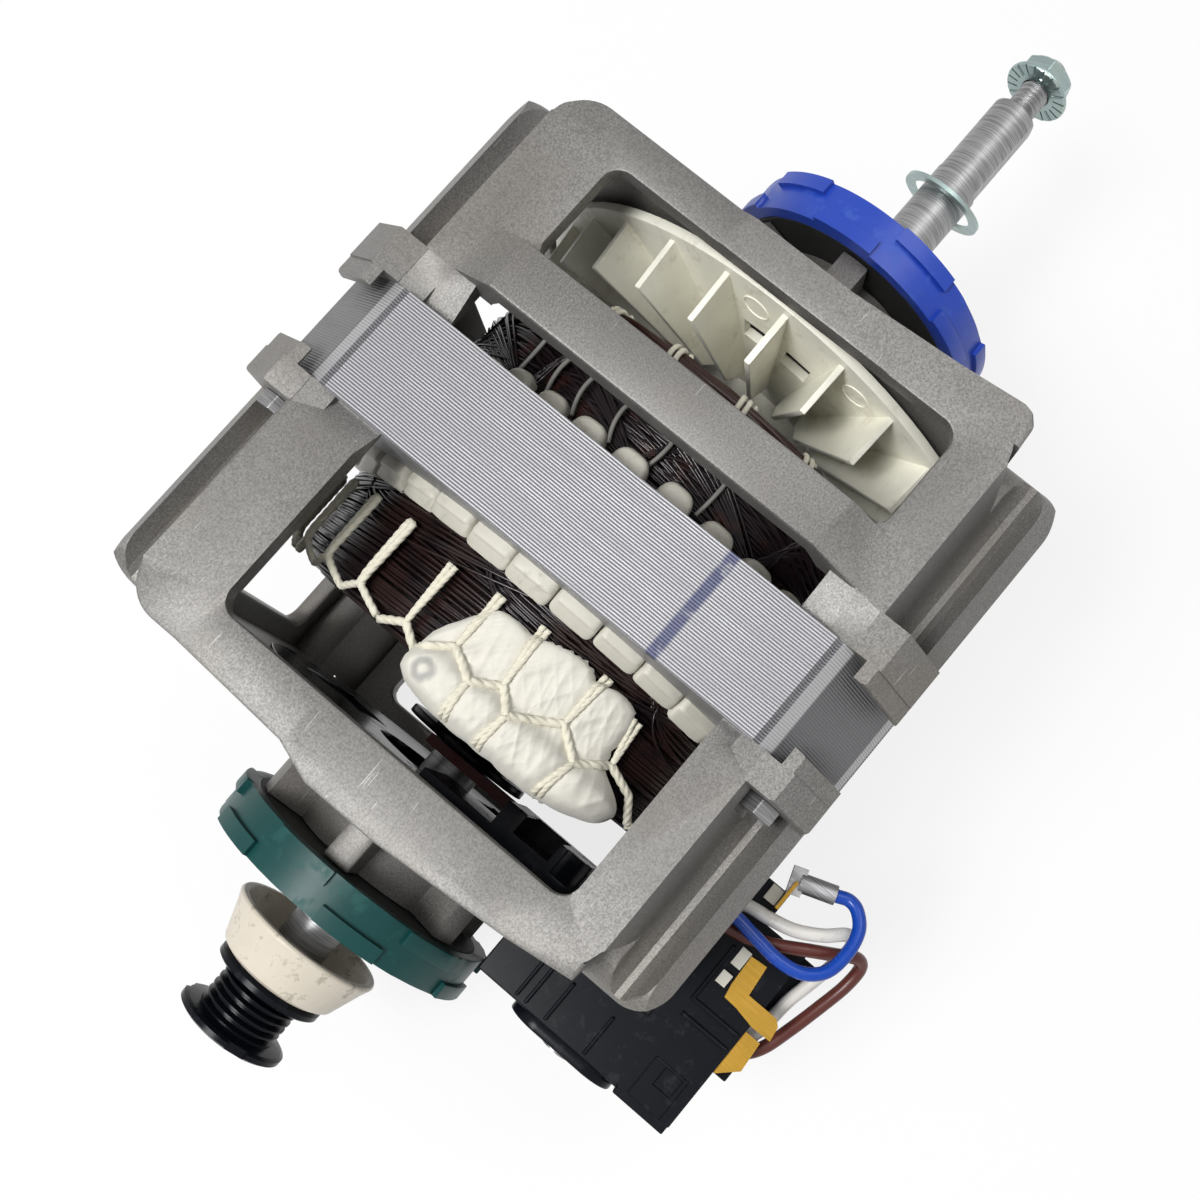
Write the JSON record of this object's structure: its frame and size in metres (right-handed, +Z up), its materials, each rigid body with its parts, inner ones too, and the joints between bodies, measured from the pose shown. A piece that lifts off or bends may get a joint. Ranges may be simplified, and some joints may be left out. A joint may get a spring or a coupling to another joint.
{
  "type": "dryer drive motor",
  "caption": "Open-frame dryer motor: laminated stator between two cast cages, fan, belt pulley and threaded blower shaft on one axis, mounting rings and centrifugal switch",
  "frame": {"origin": "Centre of the lamination stack on the shaft axis, midway between the two mounting rings' cradles", "axes": "+X along the shaft to the threaded blower end, +Z up, away from the flat side the motor lies on, -Y to the side with the switch"},
  "size_m": [0.318, 0.1782, 0.1515],
  "materials": {
    "laminated_steel": "stacked electrical steel, ground edges",
    "cast_aluminium": "as-cast, fine sandy grain",
    "steel": "turned and plain",
    "zinc_steel": "zinc plated, slightly green",
    "bronze": "sintered, oiled",
    "brass": "stamped, bright",
    "copper_enamel": "dark brown enamelled wire",
    "ivory_plastic": "moulded",
    "insulator_plastic": "moulded, off-white",
    "cream_plastic": "moulded, stained",
    "black_plastic": "moulded",
    "blue_plastic": "moulded",
    "green_plastic": "moulded, scuffed",
    "red_phenolic": "pressed sheet",
    "nylon": "moulded",
    "rubber": "moulded",
    "cotton_cord": "twisted cord",
    "cotton_cloth": "wrapped cloth",
    "felt": "oiled felt",
    "blue_wire": "insulated wire",
    "white_wire": "insulated wire",
    "brown_wire": "insulated wire"
  },
  "bodies": {
    "frame": {"stator_core": "laminated_steel", "slot_insulators": "insulator_plastic", "slot_windings": "copper_enamel", "winding_core_blower": "copper_enamel", "winding_core_pulley": "copper_enamel", "winding_turns_blower": "copper_enamel", "winding_turns_pulley": "copper_enamel", "lacing_cord": "cotton_cord", "thermal_protector": "cotton_cloth", "lead_bundle": "brown_wire", "blower_end_bracket": "cast_aluminium", "pulley_end_bracket": "cast_aluminium", "through_bolts": "steel", "blower_bearing": "bronze", "pulley_bearing": "bronze", "oil_felts": "felt", "bearing_caps": "steel", "blower_mount_ring": "blue_plastic", "blower_mount_rubber": "rubber", "pulley_mount_ring": "green_plastic", "pulley_mount_rubber": "rubber", "switch_housing": "black_plastic", "switch_cover": "black_plastic", "switch_plate": "black_plastic", "switch_screws": "steel", "switch_contacts": "brass", "brass_terminals": "brass", "lead_connector": "steel", "blue_lead": "blue_wire", "white_lead": "white_wire", "brown_lead": "brown_wire", "terminal_pads": "nylon", "lever_pin": "steel"},
    "rotor": {"shaft": "steel", "rotor_core": "laminated_steel", "rotor_cage": "cast_aluminium", "cooling_fan": "ivory_plastic", "belt_pulley": "black_plastic", "pulley_collar": "cream_plastic", "retaining_rings": "steel", "thrust_washers": "black_plastic", "governor_plate": "steel", "governor_spring": "steel"},
    "governor_collar": {"governor_collar": "black_plastic"},
    "weight_top": {"governor_weight_top": "steel"},
    "weight_bottom": {"governor_weight_bottom": "steel"},
    "lever": {"switch_lever": "red_phenolic"},
    "plunger": {"switch_plunger": "nylon"},
    "loose_washer": {"loose_washer": "zinc_steel"},
    "flange_nut": {"flange_nut": "zinc_steel"}
  },
  "joints": [
    {"name": "shaft_spin", "type": "hinge", "parent": "frame", "child": "rotor", "pos_m": [0, 0, 0], "axis": [1, 0, 0], "continuous": true},
    {"name": "governor_slide", "type": "slide", "parent": "rotor", "child": "governor_collar", "axis": [1, 0, 0], "range_m": [0, 0.004], "stiffness_N_per_m": 300, "springref_m": -0.002},
    {"name": "weight_top_swing", "type": "hinge", "parent": "rotor", "child": "weight_top", "pos_m": [-0.037, 0, 0.025], "axis": [0, -1, 0], "range_deg": [0, 17.3]},
    {"name": "weight_bottom_swing", "type": "hinge", "parent": "rotor", "child": "weight_bottom", "pos_m": [-0.037, 0, -0.025], "axis": [0, 1, 0], "range_deg": [0, 17.3]},
    {"name": "lever_swing", "type": "hinge", "parent": "frame", "child": "lever", "pos_m": [-0.0536, -0.05, 0.005], "axis": [0, 0, -1], "range_deg": [0, 4.1]},
    {"name": "plunger_slide", "type": "slide", "parent": "frame", "child": "plunger", "axis": [-1, 0, 0], "range_m": [0, 0.00185]},
    {"name": "washer_slide", "type": "slide", "parent": "rotor", "child": "loose_washer", "axis": [1, 0, 0], "range_m": [-0.023, 0.033]},
    {"name": "nut_off", "type": "slide", "parent": "rotor", "child": "flange_nut", "axis": [1, 0, 0], "range_m": [0, 0.06]}
  ],
  "couplings": [
    {"joint": "weight_top_swing", "follows": "governor_slide", "rad_per_m": 75},
    {"joint": "weight_bottom_swing", "follows": "governor_slide", "rad_per_m": 75},
    {"joint": "lever_swing", "follows": "governor_slide", "rad_per_m": 17.5},
    {"joint": "plunger_slide", "follows": "governor_slide", "ratio": 0.45}
  ]
}
